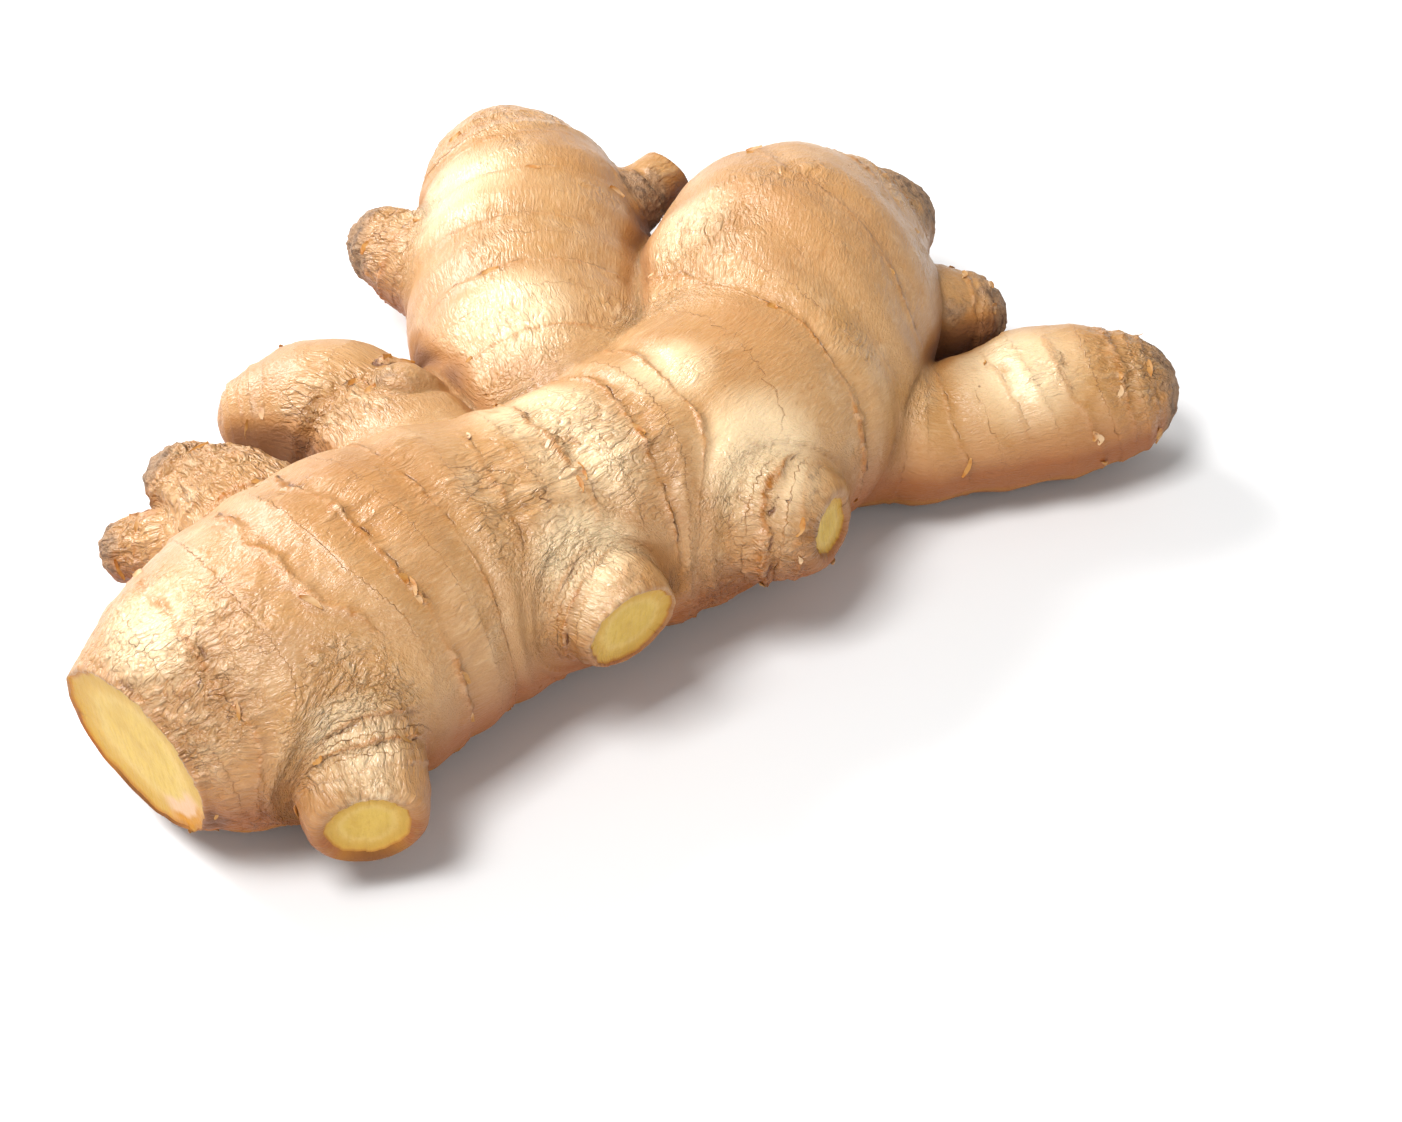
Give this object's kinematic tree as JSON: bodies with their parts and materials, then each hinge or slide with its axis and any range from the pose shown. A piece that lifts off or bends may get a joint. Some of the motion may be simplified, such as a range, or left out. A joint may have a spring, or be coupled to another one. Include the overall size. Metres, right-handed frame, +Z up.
{
  "type": "ginger root",
  "caption": "Whole fresh ginger root with thick knobbly lobes, short cut stubs and small buds, lying on its flatter side.",
  "frame": {"origin": "middle of the underside: the point on the resting surface under the centre of the object's box", "axes": "+Z up from the resting surface; +Y towards the two large upper lobes, away from the cut end; +X towards the long side arm, with the cut mother lobe at -X and -Y"},
  "size_m": [0.1819, 0.184, 0.0472],
  "materials": {
    "skin": "satin"
  },
  "bodies": {
    "root": {"rhizome": "skin"}
  },
  "joints": []
}
